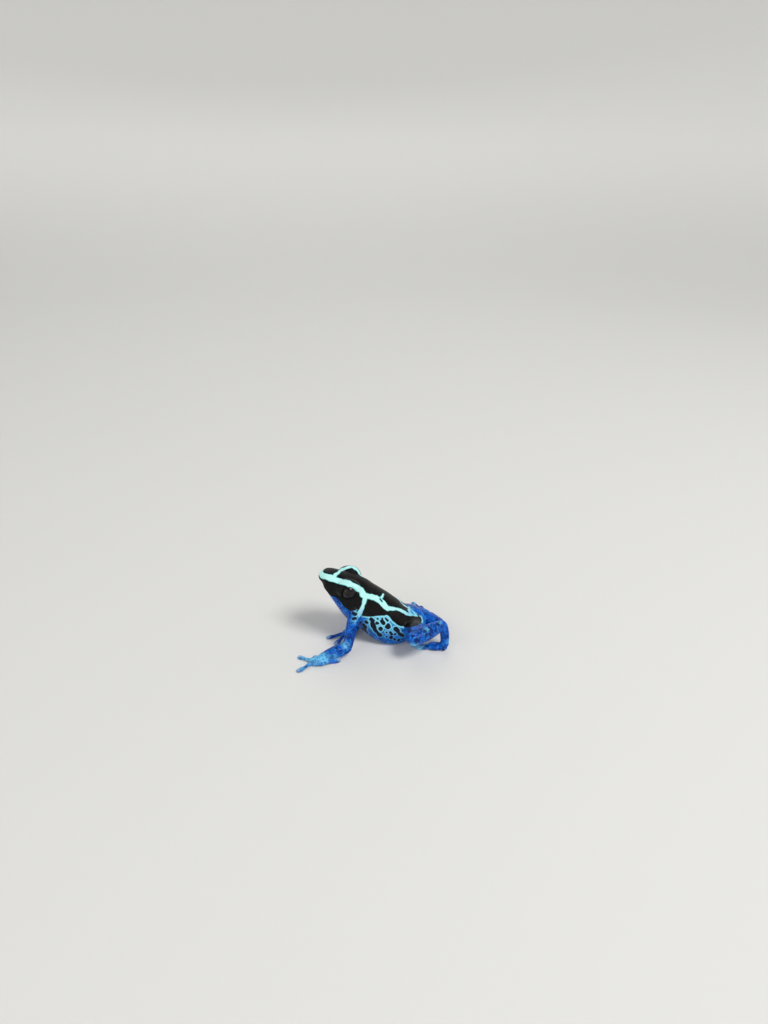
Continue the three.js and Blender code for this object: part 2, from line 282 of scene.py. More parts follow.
@dataclass
class Markings:
    """The frog's pattern: pale mint lines, black patches, a blue net with round black spots, and painted
    highlights, sheen and shade.

    Lines and spots are (x, y, z, half width) in the frog's frame, in mm. The mantle is the outline
    of all the black of one side, as x and how far up round the body it is. A span holds the two
    ends of a smooth step or of a random draw.
    """

    back_stripe: Line = (
        (0.3, -0.4, 23.7, 0.9), (0.8, -1.5, 23.7, 0.95), (1.6, -2.2, 23.8, 0.95),
        (2.6, -2.7, 23.8, 1.05), (3.5, -2.9, 23.7, 1.2), (4.8, -3.3, 23.2, 1.0),
        (6.3, -3.5, 22.9, 1.15), (7.4, -4.4, 23.1, 1.2), (8.5, -4.9, 23.1, 1.25),
        (9.4, -5.2, 22.9, 1.1), (10.2, -5.5, 22.7, 0.95), (11.3, -5.6, 22.0, 0.95),
        (12.1, -5.2, 21.2, 1.1), (12.7, -4.5, 20.3, 1.1), (13.1, -4.2, 19.7, 1.1),
        (13.8, -4.7, 18.5, 1.1), (14.7, -4.6, 18.0, 0.8), (15.8, -4.4, 17.5, 0.9),
        (17.2, -4.0, 17.0, 1.0),
        (18.0, -3.8, 16.5, 1.05), (18.9, -3.8, 15.8, 1.05), (19.8, -4.0, 15.0, 1.1),
        (20.7, -4.4, 14.0, 1.05), (21.6, -4.5, 13.2, 0.95), (22.6, -4.2, 12.8, 0.7),
        (24.2, -3.6, 12.2, 0.55), (25.5, -3.0, 11.6, 0.6), (26.4, -2.7, 10.9, 0.75),
        (27.5, -2.5, 9.9, 0.75), (28.5, -2.2, 9.1, 0.6), (29.5, -1.6, 8.2, 0.5),
    )
    stripe_spur: Line = ((19.8, -2.8, 16.3, 0.6), (20.2, -1.9, 16.3, 0.4), (20.4, -1.1, 16.3, 0.42))
    arm_branch: Line = (
        (14.4, -5.1, 17.4, 0.95), (14.2, -5.6, 16.6, 0.7), (14.0, -5.9, 15.8, 0.58),
        (13.7, -6.2, 14.9, 0.56), (13.3, -6.4, 14.0, 0.7), (12.8, -6.6, 13.2, 0.85),
        (12.6, -7.0, 12.2, 0.8),
    )
    snout_cross: Line = (
        (4.7, -2.4, 24.0, 0.75), (5.8, -0.3, 23.9, 0.5), (6.5, 1.7, 23.5, 0.5),
        (7.2, 3.2, 23.2, 0.55), (8.1, 3.5, 23.4, 0.55), (8.9, 3.9, 23.4, 0.7),
        (9.7, 4.3, 23.3, 0.85),
    )
    far_snout_line: Line = (
        (0.3, 0.2, 23.7, 0.85), (0.9, 1.9, 23.6, 0.75), (1.8, 2.9, 23.4, 0.6),
        (3.2, 3.4, 23.1, 0.6), (4.8, 3.6, 22.9, 0.6), (6.0, 3.5, 23.0, 0.65),
        (7.2, 3.4, 23.0, 0.7),
    )
    far_back_stripe: Line = (
        (9.7, 4.3, 23.3, 0.85), (10.4, 4.3, 23.1, 0.85), (11.1, 4.0, 22.8, 0.8),
        (11.9, 3.6, 22.2, 0.7), (12.6, 3.1, 21.4, 0.55), (13.3, 2.8, 20.8, 0.5),
        (14.1, 2.6, 20.3, 0.45), (15.2, 3.2, 19.2, 0.55), (17.0, 4.3, 17.2, 0.8),
        (19.2, 4.1, 16.0, 0.8),
        (21.2, 3.8, 14.7, 0.7), (23.3, 3.1, 13.3, 0.62), (24.4, 2.8, 12.8, 0.52),
        (25.3, 2.5, 12.0, 0.5), (26.2, 1.6, 11.5, 0.52), (27.0, 0.9, 10.8, 0.5),
        (28.0, 1.2, 9.9, 0.46), (29.2, 1.5, 8.7, 0.42),
    )
    far_arm_branch: Line = (
        (14.6, 3.2, 19.7, 0.5), (14.7, 4.2, 18.9, 0.7), (14.5, 5.0, 17.8, 0.8),
        (14.2, 5.6, 16.6, 0.6), (13.7, 6.1, 15.2, 0.55), (13.1, 6.5, 13.6, 0.7),
    )
    mantle: Outline = (
        (-4.0, 40.0), (-4.0, 11.5), (0.6, 11.5), (1.3, 11.6), (2.2, 11.8), (2.9, 12.0), (3.8, 12.0),
        (5.0, 11.6), (6.1, 10.9), (6.8, 10.0), (7.5, 9.0), (8.4, 8.1), (8.9, 7.7), (9.8, 7.2),
        (11.1, 7.4), (12.0, 7.8), (12.8, 7.2), (13.5, 5.8), (15.3, 5.4), (17.1, 5.55),
        (18.9, 5.75), (20.7, 5.95), (21.3, 6.1), (21.9, 5.8), (22.6, 4.9), (23.5, 3.9),
        (24.6, 3.1), (26.0, 2.45), (27.4, 2.1), (28.7, 2.05), (30.4, 2.5), (32.1, 3.0),
        (33.0, 3.9), (33.2, 4.4), (32.4, 5.3), (30.9, 5.6), (29.6, 6.0), (28.8, 6.7), (28.4, 7.6),
        (28.2, 40.0),
    )
    far_rump: tuple[float, float] = (28.8, 0.9)
    chin_drop: float = 1.7
    chin_aside: Span = (4.2, 0.4)
    chin_back: Span = (7.0, 4.0)
    mantle_foot: Outline = (
        (-2.0, 17.9), (2.6, 17.9), (5.0, 16.8), (6.1, 16.1), (7.5, 14.2), (8.4, 13.0), (10.0, 12.4),
        (13.6, 10.7), (17.1, 10.5), (20.7, 10.7), (21.9, 10.3), (23.5, 8.3), (26.0, 6.4),
        (30.0, 5.2), (34.0, 5.2),
    )
    flank_spots: tuple[Line, ...] = (
        ((10.5, -7.5, 13.4, 0.48), (11.4, -7.7, 13.0, 0.52)),
        ((12.8, -6.7, 13.1, 0.28),),
        ((12.0, -7.1, 14.0, 0.28),),
        ((10.7, -8.6, 11.8, 0.38), (11.4, -8.3, 11.8, 0.42)),
        ((13.0, -6.2, 8.8, 0.5),),
        ((14.7, -6.6, 9.4, 0.48), (15.1, -6.6, 9.1, 0.48)),
        ((16.3, -6.7, 10.4, 0.6), (17.1, -6.8, 9.9, 0.45)),
        ((14.0, -6.3, 8.2, 0.45), (14.4, -6.2, 7.2, 0.7), (14.5, -5.9, 5.9, 0.5)),
        ((18.3, -6.9, 9.0, 0.6),),
        ((18.5, -6.7, 10.5, 0.32),),
        ((19.9, -6.6, 10.6, 0.32),),
        ((21.0, -6.5, 10.6, 0.34), (21.7, -6.6, 9.8, 0.38)),
        ((19.8, -6.8, 9.8, 0.55), (20.2, -6.8, 9.0, 0.7)),
        ((21.8, -7.0, 7.8, 0.95),),
        ((19.4, -7.1, 7.0, 0.75),),
        ((24.3, -7.0, 6.8, 0.75), (25.1, -7.0, 5.8, 0.6)),
        ((21.3, -7.4, 5.6, 0.35),),
        ((22.5, -7.3, 5.7, 0.35), (23.1, -7.4, 5.1, 0.4)),
        ((24.1, -7.3, 5.0, 0.34),),
        ((25.4, -7.1, 5.0, 0.5), (26.5, -7.0, 4.2, 0.6)),
        ((22.9, -7.5, 3.8, 0.65),),
        ((24.0, -7.4, 3.0, 0.4),),
        ((21.4, -7.4, 4.1, 0.3),),
        ((25.4, -7.2, 2.4, 0.5),),
        (
            (16.7, -6.8, 9.1, 0.7), (17.0, -6.9, 8.0, 0.85), (17.3, -6.9, 7.2, 0.8),
            (17.8, -7.0, 6.1, 0.6), (18.4, -7.1, 5.4, 0.5), (19.1, -7.2, 4.5, 0.8),
        ),
    )
    stripe_spots: tuple[Line, ...] = (
        ((19.2, -3.5, 16.0, 0.22), (19.8, -3.8, 15.4, 0.2)),
        ((10.5, -5.9, 22.1, 0.18), (11.3, -5.5, 21.3, 0.22), (12.0, -4.9, 20.1, 0.18)),
    )
    leg_blotches: tuple[Line, ...] = (
        ((32.0, -12.8, 10.8, 0.55),),
        ((33.3, -13.5, 10.5, 0.6),),
        ((34.8, -11.6, 10.7, 0.5), (35.5, -12.2, 10.2, 0.6)),
        ((37.6, -9.2, 10.3, 0.65),),
        ((36.3, -7.7, 9.9, 0.5),),
        ((33.7, -14.2, 9.6, 0.4),),
        ((35.0, -13.4, 9.3, 0.5),),
        ((30.0, -16.3, 9.1, 0.45), (31.0, -15.8, 9.0, 0.5)),
        ((29.2, -15.5, 10.3, 0.45),),
        ((28.6, -12.9, 10.0, 0.45), (28.5, -11.1, 9.8, 0.45)),
        ((33.3, -7.8, 0.9, 0.35),),
        ((34.7, -9.1, 1.3, 0.35),),
        ((39.4, -10.9, 3.4, 0.3),),
        ((10.2, -9.3, 10.9, 0.4),),
        ((26.6, -6.7, 5.9, 0.4),),
    )
    # Painted highlights: light cyan patches laid where the light falls brightest on the limbs, the flank
    # and the feet.
    painted_highlights: Line = (
        (4.4, -14.3, 1.9, 1.5), (1.2, -15.7, 1.7, 2.2), (-1.0, -15.2, 1.2, 2.8),
        (-3.4, -15.5, 0.8, 2.4), (-5.6, -17.6, 0.5, 2.2), (-4.6, -13.2, 0.5, 1.8),
        (11.3, -8.6, 11.4, 1.1), (8.2, -12.4, 4.4, 1.2), (29.6, -16.4, 6.8, 1.5),
        (31.6, -8.4, 0.8, 2.0), (34.2, -10.8, 0.9, 1.3), (27.8, -13.8, 5.6, 1.2),
        (31.5, -17.2, 0.6, 1.2), (33.8, -12.6, 10.9, 0.9), (38.4, -8.0, 10.6, 0.9),
        (41.2, -8.8, 3.4, 0.9),
    )
    digit_ends: Outline = (
        (-1.5, -12.6), (-6.5, -13.0), (-6.4, -20.0), (6.2, -14.9), (9.0, -4.5), (4.8, -6.1),
        (2.0, -2.8), (9.5, 4.5), (35.2, -7.5), (33.3, -7.3), (31.5, -7.6), (30.0, -8.1),
        (31.9, -9.3), (32.7, 11.7), (31.7, 13.5), (31.5, 15.6), (32.3, 17.7), (34.8, 16.6),
    )
    tip_reach: Span = (1.15, 0.3)
    tip_height: float = 1.6
    tip_strength: float = 0.55
    edge_waves: float = 0.9
    edge_reach: float = 0.22
    # Where the mint turns bluer: at the rump, partly as painted shade, and down the arm's branch.
    cool_rear: Span = (24.5, 29.5)
    cool_girth: Span = (9.0, 6.5)
    cool_front: Span = (16.0, 14.5)
    # How the brown-grey painted sheen on the black grows lower down.
    painted_sheen_height: Span = (19.0, 10.0)
    painted_sheen_gain: float = 0.7
    painted_sheen_least: float = 0.1
    flank_limb: Span = (0.4, -0.6)
    flank_start: Span = (12.0, 15.5)
    # The net lightens higher up the flank, partly as painted shade towards the floor.
    net_height: Span = (3.5, 8.5)
    net_start: Span = (13.0, 17.5)
    net_least: float = 0.15
    net_gain: float = 0.8
    net_edge: Span = (-1.1, -0.25)
    shoulder_front: Span = (10.2, 11.6)
    shoulder_rear: Span = (14.5, 12.8)
    shoulder_height: Span = (10.8, 12.8)
    shoulder_strength: float = 0.75
    # The soft edge of the painted highlights.
    painted_highlight_edge: Span = (-0.9, 1.2)
    far_shift: float = 0.8
    far_sizes: Span = (0.8, 1.2)
    loose_spots: int = 70
    loose_length: Span = (9.0, 33.0)
    loose_aside: float = 5.6
    loose_sizes: Span = (0.3, 0.75)
    loose_facing: float = 0.3
    spot_growth: float = 0.05
    seed: int = 11

    def wander(self, points: np.ndarray) -> np.ndarray:
        """Shifts rows of x, y and z in mm by a smooth random field, so that edges look grown."""
        drift = [noise.noise_vector(Vector(p) * self.edge_waves) for p in points]
        return points + np.array(drift) * self.edge_reach

    def both_sides(self, spots: tuple[Line, ...]) -> list[Line]:
        """Repeats the left side's spots on the right side, moved and resized a little.

        Args:
            spots: The spots of the left side.

        Returns:
            The spots of both sides.
        """
        draw = np.random.default_rng(self.seed)
        move, (small, large) = self.far_shift, self.far_sizes
        right = [
            mirrored(spot, draw.uniform(-move, move), draw.uniform(small, large)) for spot in spots
        ]
        return [*spots, *right]

    def spot_depth(self, points: np.ndarray, down: np.ndarray) -> np.ndarray:
        """How deep each point lies inside a black spot of the flanks or the belly.

        Args:
            points: Rows of x, y and z in mm.
            down: How far each point's skin faces the floor, from 0 to 1.

        Returns:
            Millimetres inside the nearest spot's edge, negative outside it.
        """
        spots = self.both_sides(self.flank_spots)
        depth = np.max([band_depth(points, spot) for spot in spots], axis=0)
        draw = np.random.default_rng(self.seed + 1)
        for _ in range(self.loose_spots):
            x = draw.uniform(*self.loose_length)
            y = draw.uniform(-self.loose_aside, self.loose_aside)
            flat = np.hypot(points[:, 0] - x, points[:, 1] - y)
            inside = draw.uniform(*self.loose_sizes) - flat
            depth = np.maximum(depth, np.where(down > self.loose_facing, inside, -FAR))
        return depth + self.spot_growth

    def blotch_depth(self, points: np.ndarray) -> np.ndarray:
        """How deep each point lies inside a soft dark blotch of the legs, in mm."""
        blotches = self.both_sides(self.leg_blotches)
        return np.max([band_depth(points, spot) for spot in blotches], axis=0)

    def pale_depth(self, points: np.ndarray) -> np.ndarray:
        """How deep each point lies inside a pale mint line and clear of the specks in it.

        Args:
            points: Rows of x, y and z in mm.

        Returns:
            Millimetres inside the edge, negative outside it.
        """
        lines = (
            self.back_stripe, self.stripe_spur, self.arm_branch, self.snout_cross,
            self.far_snout_line, self.far_back_stripe, self.far_arm_branch,
        )
        pale = np.max([band_depth(points, line) for line in lines], axis=0)
        specks = np.max([band_depth(points, speck) for speck in self.stripe_spots], axis=0)
        return np.minimum(pale, -specks)

    def black_depth(self, points: np.ndarray) -> np.ndarray:
        """How deep each point lies inside the black of the head and back.

        Args:
            points: Rows of x, y and z in mm.

        Returns:
            Millimetres inside the edge, negative outside it.
        """
        across = np.stack([points[:, 0], girth(points)], axis=1)
        foot_x, foot_z = np.array(self.mantle_foot).T
        chin = self.chin_drop * smooth_step(np.abs(points[:, 1]), *self.chin_aside)
        chin *= smooth_step(points[:, 0], *self.chin_back)
        above = points[:, 2] - np.interp(points[:, 0], foot_x, foot_z) + chin
        far_x, far_y = self.far_rump
        not_far_rump = np.maximum(far_x - points[:, 0], far_y - points[:, 1])
        return np.minimum.reduce([outline_depth(across, self.mantle), above, not_far_rump])

    def tip_share(self, points: np.ndarray) -> np.ndarray:
        """How pale each point is for being near the end of a digit.

        Args:
            points: Rows of x, y and z in mm.

        Returns:
            A share from 0 to 1 for each point.
        """
        ends = np.array(self.digit_ends)
        gaps = np.linalg.norm(points[:, None, :2] - ends[None], axis=2).min(axis=1)
        near = smooth_step(gaps, *self.tip_reach) * (points[:, 2] < self.tip_height)
        return near * self.tip_strength

    def painted_highlight_share(self, points: np.ndarray) -> np.ndarray:
        """How far each point of the blue skin turns to light cyan, as a painted highlight.

        Args:
            points: Rows of x, y and z in mm.

        Returns:
            A share from 0 to 1 for each point.
        """
        patches = self.both_sides(tuple((patch,) for patch in self.painted_highlights))
        shares = [smooth_step(band_depth(points, patch), *self.painted_highlight_edge) for patch in patches]
        return np.max(shares, axis=0)

    def cool_share(self, points: np.ndarray) -> np.ndarray:
        """How blue the mint is at each point, from 0 to 1: at the rump, partly as painted shade, and down
        the arm's branch.
        """
        branch = smooth_step(girth(points), *self.cool_girth) * smooth_step(points[:, 0], *self.cool_front)
        return np.clip(smooth_step(points[:, 0], *self.cool_rear) + branch, 0.0, 1.0)

    def painted_sheen_share(self, points: np.ndarray) -> np.ndarray:
        """How strongly the black takes a brown-grey painted sheen at each point, from 0 to 1: more so
        lower down.
        """
        return smooth_step(points[:, 2], *self.painted_sheen_height) * self.painted_sheen_gain + self.painted_sheen_least

    def net_share(self, points: np.ndarray, limb: np.ndarray, black: np.ndarray) -> np.ndarray:
        """How far each point belongs to the net of the flanks and shoulders; the share grows higher up,
        partly as painted shade towards the floor.

        Args:
            points: Rows of x, y and z in mm.
            limb: How much nearer each point lies to a limb than to the trunk, in mm.
            black: How deep each point lies inside the black of the head and back, in mm.

        Returns:
            A share from 0 to 1 for each point.
        """
        x, z = points[:, 0], points[:, 2]
        flank = smooth_step(limb, *self.flank_limb) * smooth_step(x, *self.flank_start)
        # The net grows lighter up the flank: partly the belly's own deeper blue below, partly painted
        # shade towards the floor.
        rise = self.net_gain * smooth_step(z, *self.net_height) * smooth_step(x, *self.net_start)
        net = np.maximum((self.net_least + rise) * flank, smooth_step(black, *self.net_edge) * flank)
        shoulder = smooth_step(x, *self.shoulder_front) * smooth_step(x, *self.shoulder_rear)
        shoulder *= smooth_step(z, *self.shoulder_height)
        return np.maximum(net, self.shoulder_strength * shoulder)


def add_node(
    tree: bpy.types.NodeTree,
    kind: str,
    settings: dict[str, object] | None = None,
    values: dict[str | int, object] | None = None,
) -> bpy.types.Node:
    """Adds one shader node with its settings, and with its inputs set or linked.

    Args:
        tree: The node tree to add to.
        kind: The node's type name.
        settings: The node's own properties.
        values: An output socket to link, or a plain value, for each named or numbered input.

    Returns:
        The new node.
    """
    made = tree.nodes.new(kind)
    for name, value in (settings or {}).items():
        setattr(made, name, value)
    for key, value in (values or {}).items():
        socket = made.inputs[key]
        if isinstance(value, bpy.types.NodeSocket):
            tree.links.new(value, socket)
        else:
            socket.default_value = value
    return made


def new_material(name: str) -> tuple[bpy.types.Material, bpy.types.NodeTree]:
    """Makes an empty node material.

    Args:
        name: The material's name.

    Returns:
        The material and its node tree.
    """
    material = bpy.data.materials.new(name)
    material.use_nodes = True
    material.node_tree.nodes.clear()
    return material, material.node_tree


def add_surface(tree: bpy.types.NodeTree, values: dict[str, object]) -> None:
    """Gives a material its one shader, with the values or sockets for the shader's inputs."""
    shader = add_node(tree, "ShaderNodeBsdfPrincipled", None, values)
    add_node(tree, "ShaderNodeOutputMaterial", None, {"Surface": shader.outputs["BSDF"]})


def mix_colours(
    tree: bpy.types.NodeTree, share: object, below: object, above: object
) -> bpy.types.NodeSocket:
    """Lays one colour over another by a share, and returns the colour's socket."""
    made = add_node(tree, "ShaderNodeMix", {"data_type": "RGBA"}, {0: share, 6: below, 7: above})
    return made.outputs[2]


def threshold(
    tree: bpy.types.NodeTree, value: bpy.types.NodeSocket, low: float, high: float
) -> bpy.types.NodeSocket:
    """A soft edge: 0 where the value is under low, 1 where it is over high."""
    made = add_node(
        tree,
        "ShaderNodeMapRange",
        {"interpolation_type": "SMOOTHSTEP"},
        {"Value": value, "From Min": low, "From Max": high},
    )
    return made.outputs["Result"]


def combine(
    tree: bpy.types.NodeTree, operation: str, first: object, second: object
) -> bpy.types.NodeSocket:
    """One arithmetic step between two values, and the socket with its result."""
    return add_node(tree, "ShaderNodeMath", {"operation": operation}, {0: first, 1: second}).outputs[0]


def product(tree: bpy.types.NodeTree, *values: object) -> bpy.types.NodeSocket:
    """Multiplies all the values, and gives the socket with the result."""
    return reduce(lambda first, second: combine(tree, "MULTIPLY", first, second), values)


@dataclass(frozen=True)
class MoistSkin:
    """Thin, always moist amphibian skin, nearly smooth, with mucus that gives small sharp glints.

    IOR is that of water-soaked tissue, and the clear coat stands for the film of mucus on it.
    """

    black: str = "#020505"
    # The brown-grey of a painted sheen on the black.
    painted_sheen_brown: str = "#1C1613"
    spot: str = "#08172A"
    mint: str = "#BDF5F0"
    mint_edge: str = "#6FCFD6"
    # The bluer mint of the arm's branch, and of the rump where it is partly painted shade.
    cool_mint: str = "#9AD4F0"
    deep_blue: str = "#002C80"
    blue: str = "#005CC8"
    light_blue: str = "#2F9AF0"
    # The light cyan of the painted highlights on the blue.
    cyan: str = "#74CDF8"
    net_blue: str = "#2488CE"
    net_rim: str = "#8EE0F2"
    speckle: str = "#061B52"
    blotch: str = "#08265E"
    pale_tip: str = "#A9CEE0"
    ior: float = 1.38

    def material(self) -> bpy.types.Material:
        """Builds the skin's material from the marks stored on the mesh and noise in real size.

        Returns:
            The material.
        """
        skin, tree = new_material("moist_frog_skin")
        coords = add_node(tree, "ShaderNodeTexCoord").outputs["Object"]

        def mark(name: Mark) -> bpy.types.NodeSocket:
            """The value stored on the mesh for a mark."""
            return add_node(tree, "ShaderNodeAttribute", {"attribute_name": name.value}).outputs["Fac"]

        def waves(size_mm: float, detail: float = 2.0) -> bpy.types.NodeSocket:
            """Noise whose lumps are about the given size."""
            settings = {"Vector": coords, "Scale": 1 / (size_mm * MM), "Detail": detail}
            return add_node(tree, "ShaderNodeTexNoise", None, settings).outputs["Fac"]

        def cells(size_mm: float) -> bpy.types.NodeSocket:
            """The distance to the nearest of many scattered points that lie this far apart."""
            settings = {"Vector": coords, "Scale": 1 / (size_mm * MM), "Randomness": 1.0}
            return add_node(tree, "ShaderNodeTexVoronoi", {"feature": "F1"}, settings).outputs["Distance"]

        def grown(name: Mark, reach: float) -> bpy.types.NodeSocket:
            """A stored depth whose edge wanders a little, as pigment does."""
            drift = product(tree, combine(tree, "SUBTRACT", waves(0.45), 0.5), reach)
            return combine(tree, "ADD", mark(name), drift)

        # Blue skin: pigment in clouds about 1.8 mm across, with paler flecks a third of that size.
        clouds = threshold(tree, waves(1.8), 0.36, 0.64)
        base = mix_colours(tree, clouds, linear(self.deep_blue), linear(self.blue))
        flecks = product(tree, threshold(tree, waves(0.55), 0.52, 0.66), 0.7)
        base = mix_colours(tree, flecks, base, linear(self.light_blue))
        limb = threshold(tree, mark(Mark.LIMB), -0.6, 0.8)
        # Painted highlights: light cyan laid over the blue where the light falls brightest, broken up by
        # noise.
        broken = threshold(tree, waves(0.9, 3.0), 0.25, 0.55)
        cyan = product(tree, mark(Mark.PAINTED_HIGHLIGHT), broken, 0.9)
        base = mix_colours(tree, cyan, base, linear(self.cyan))

        # The flank's net: one blue, laid more strongly higher up, partly as painted shade towards the
        # floor, with a pale rim about 0.3 mm wide round each black spot.
        base = mix_colours(tree, mark(Mark.NET), base, linear(self.net_blue))
        near_spot = threshold(tree, grown(Mark.SPOT, 0.3), -0.62, -0.14)
        near_back = threshold(tree, grown(Mark.BLACK, 0.3), -0.75, -0.2)
        rim = product(tree, combine(tree, "MAXIMUM", near_spot, near_back), mark(Mark.NET))
        base = mix_colours(tree, rim, base, linear(self.net_rim))

        # Dark specks 0.2 to 0.5 mm across lie unevenly on the limbs, with larger soft blotches.
        specks = threshold(tree, waves(0.42, 1.5), 0.55, 0.68)
        crowd = threshold(tree, waves(1.9), 0.35, 0.6)
        specks = product(tree, specks, limb, crowd)
        base = mix_colours(tree, specks, base, linear(self.speckle))
        soft = threshold(tree, waves(1.1, 1.5), 0.56, 0.7)
        soft = product(tree, soft, limb, 0.5)
        base = mix_colours(tree, soft, base, linear(self.blotch))
        stains = product(tree, threshold(tree, grown(Mark.BLOTCH, 0.5), -0.2, 0.15), 0.85)
        base = mix_colours(tree, stains, base, linear(self.blotch))
        spots = threshold(tree, grown(Mark.SPOT, 0.2), -0.07, 0.07)
        base = mix_colours(tree, spots, base, linear(self.spot))

        # The black takes a patchy brown-grey painted sheen, stronger low down, and the mint lines darken
        # in their outer 0.3 mm.
        painted_sheen_patches = product(tree, threshold(tree, waves(1.2, 3.0), 0.38, 0.7), mark(Mark.PAINTED_SHEEN))
        dark = mix_colours(tree, painted_sheen_patches, linear(self.black), linear(self.painted_sheen_brown))
        in_black = threshold(tree, grown(Mark.BLACK, 0.15), -0.07, 0.07)
        colour = mix_colours(tree, in_black, base, dark)
        # The mint turns bluer at the rump, partly as painted shade, and down the arm's branch.
        mint = mix_colours(tree, mark(Mark.COOL), linear(self.mint), linear(self.cool_mint))
        past_edge = threshold(tree, mark(Mark.PALE), 0.0, 0.3)
        mint = mix_colours(tree, past_edge, linear(self.mint_edge), mint)
        in_line = threshold(tree, grown(Mark.PALE, 0.15), -0.07, 0.07)
        colour = mix_colours(tree, in_line, colour, mint)
        colour = mix_colours(tree, mark(Mark.TIP), colour, linear(self.pale_tip))

        # Granules about 0.35 mm across, finer pores between them, and a film of uneven thickness.
        grain = combine(tree, "ADD", product(tree, cells(0.36), -0.6), waves(0.2))
        relief = {"Strength": 0.6, "Distance": 0.05 * MM, "Height": grain}
        bump = add_node(tree, "ShaderNodeBump", None, relief)
        film = {"Value": waves(0.9, 3.0), "From Min": 0.3, "From Max": 0.7}
        shine = add_node(tree, "ShaderNodeMapRange", None, {**film, "To Min": 0.32, "To Max": 0.52})
        add_surface(
            tree,
            {
                "Base Color": colour,
                "Roughness": shine.outputs["Result"],
                "IOR": self.ior,
                "Normal": bump.outputs["Normal"],
                "Specular IOR Level": 0.2,
                "Coat Weight": 0.16,
                "Coat Roughness": 0.12,
                "Coat IOR": 1.33,
            },
        )
        return skin


